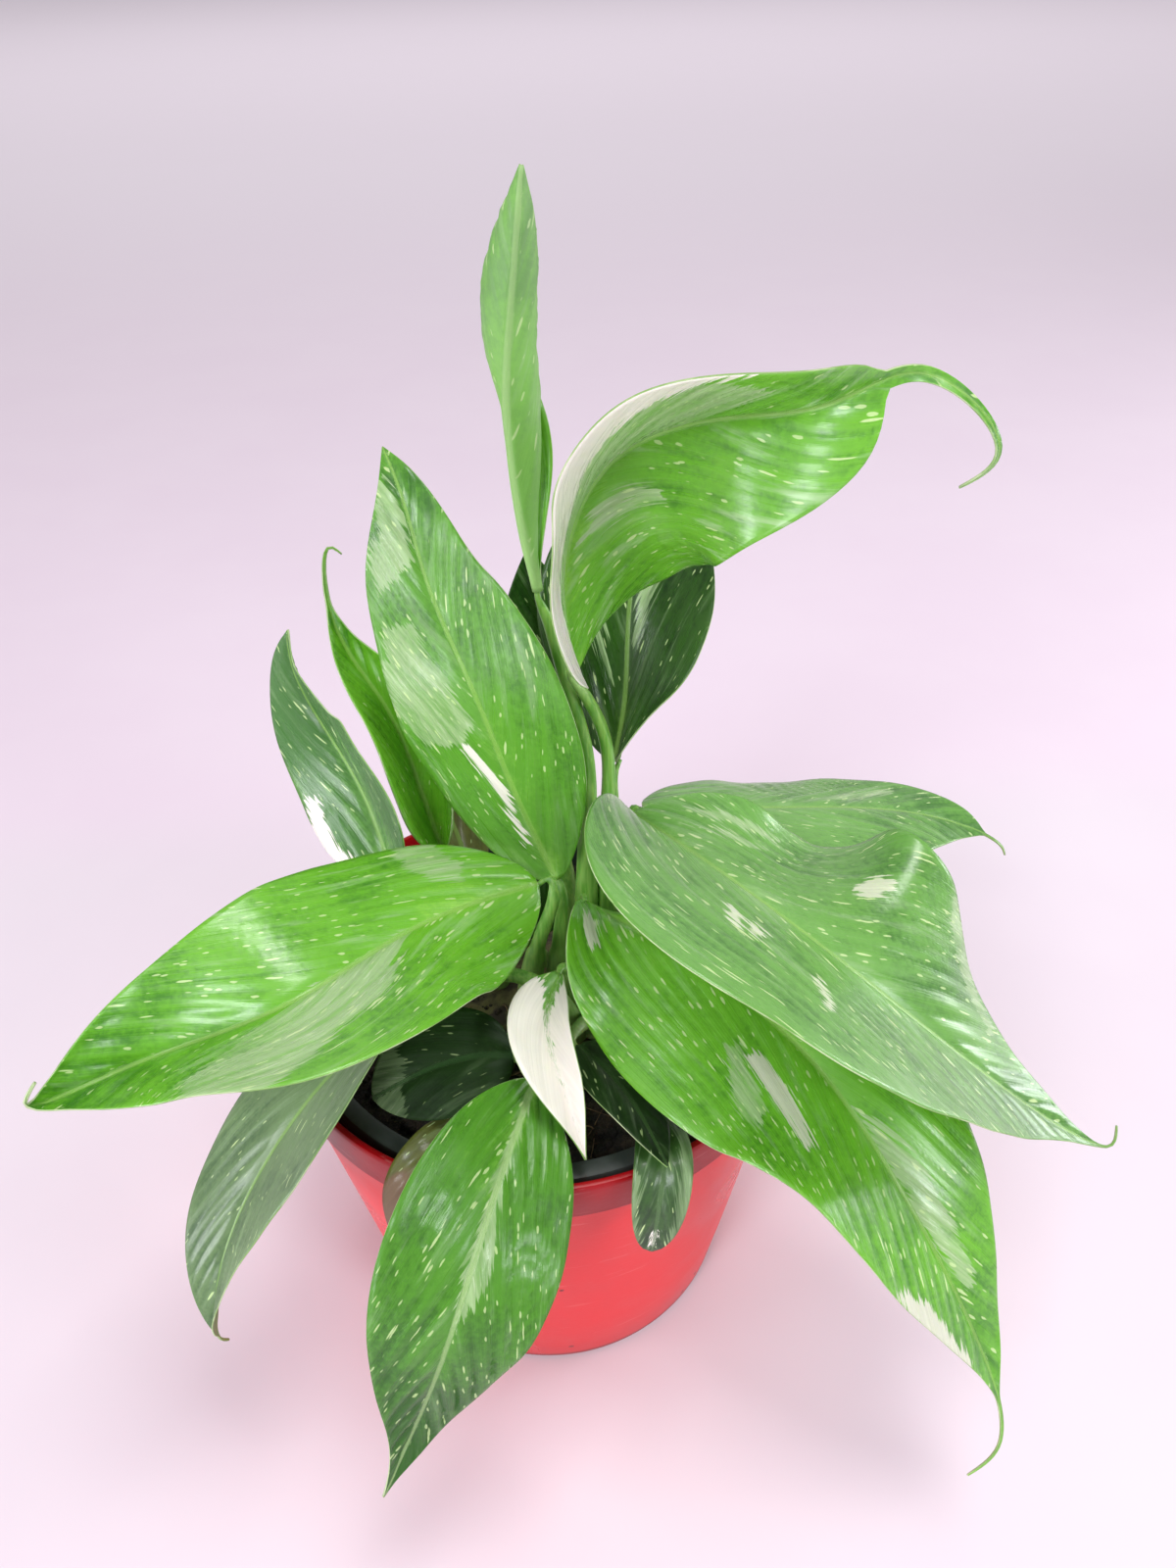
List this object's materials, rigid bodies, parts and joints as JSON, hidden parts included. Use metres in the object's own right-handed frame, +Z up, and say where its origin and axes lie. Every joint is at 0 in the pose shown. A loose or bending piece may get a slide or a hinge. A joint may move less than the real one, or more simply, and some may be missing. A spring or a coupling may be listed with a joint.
{
  "type": "potted peace lily",
  "caption": "Variegated peace lily with arching and drooping leaves in a nursery pot set inside a round tapered cover pot, free-standing.",
  "frame": {"origin": "centre of the cover pot's flat foot, on the surface that it stands on", "axes": "+Z up along the pot's axis; the plant's open side, with the leaf that hangs over the front rim, faces -Y; +X is to the viewer's right"},
  "size_m": [0.2546, 0.1869, 0.3112],
  "materials": {
    "leaf_green": "glossy living leaf, mid green flecked and patched with cream",
    "leaf_dark": "satin living leaf, dark green with few flecks",
    "leaf_cream": "satin living leaf, almost all cream with a green centre strip",
    "leaf_olive": "dull old leaf, olive with a brown dry edge",
    "stem_green": "satin leaf stalk, light green",
    "cover_pot_red": "translucent coral red moulded plastic, darker rim band",
    "nursery_pot_grey": "matte dark grey green thin plastic",
    "soil": "moist dark peat with brown fibres",
    "crown": "fibrous brown and pale green rootstock"
  },
  "bodies": {
    "root": {"cover_pot": "cover_pot_red", "nursery_pot": "nursery_pot_grey", "soil": "soil", "crown": "crown", "leaf_spear": "leaf_green", "stem_spear": "stem_green", "leaf_arching": "leaf_green", "stem_arching": "stem_green", "leaf_tall_left": "leaf_green", "stem_tall_left": "stem_green", "leaf_long_left": "leaf_green", "stem_long_left": "stem_green", "leaf_big_right": "leaf_green", "stem_big_right": "stem_green", "leaf_low_right": "leaf_green", "stem_low_right": "stem_green", "leaf_front": "leaf_green", "stem_front": "stem_green", "leaf_low_left": "leaf_green", "stem_low_left": "stem_green", "leaf_back_left": "leaf_green", "stem_back_left": "stem_green", "leaf_curled_left": "leaf_green", "stem_curled_left": "stem_green", "leaf_back_right": "leaf_green", "stem_back_right": "stem_green", "leaf_far_right": "leaf_green", "stem_far_right": "stem_green", "leaf_back_centre": "leaf_dark", "stem_back_centre": "stem_green", "leaf_centre": "leaf_dark", "stem_centre": "stem_green", "leaf_inner_left": "leaf_dark", "stem_inner_left": "stem_green", "leaf_inner_right": "leaf_dark", "stem_inner_right": "stem_green", "leaf_over_rim": "leaf_dark", "stem_over_rim": "stem_green", "leaf_old_rim": "leaf_olive", "stem_old_rim": "stem_green", "leaf_white": "leaf_cream", "stem_white": "stem_green", "leaf_old_back": "leaf_olive", "stem_old_back": "stem_green"}
  },
  "joints": []
}
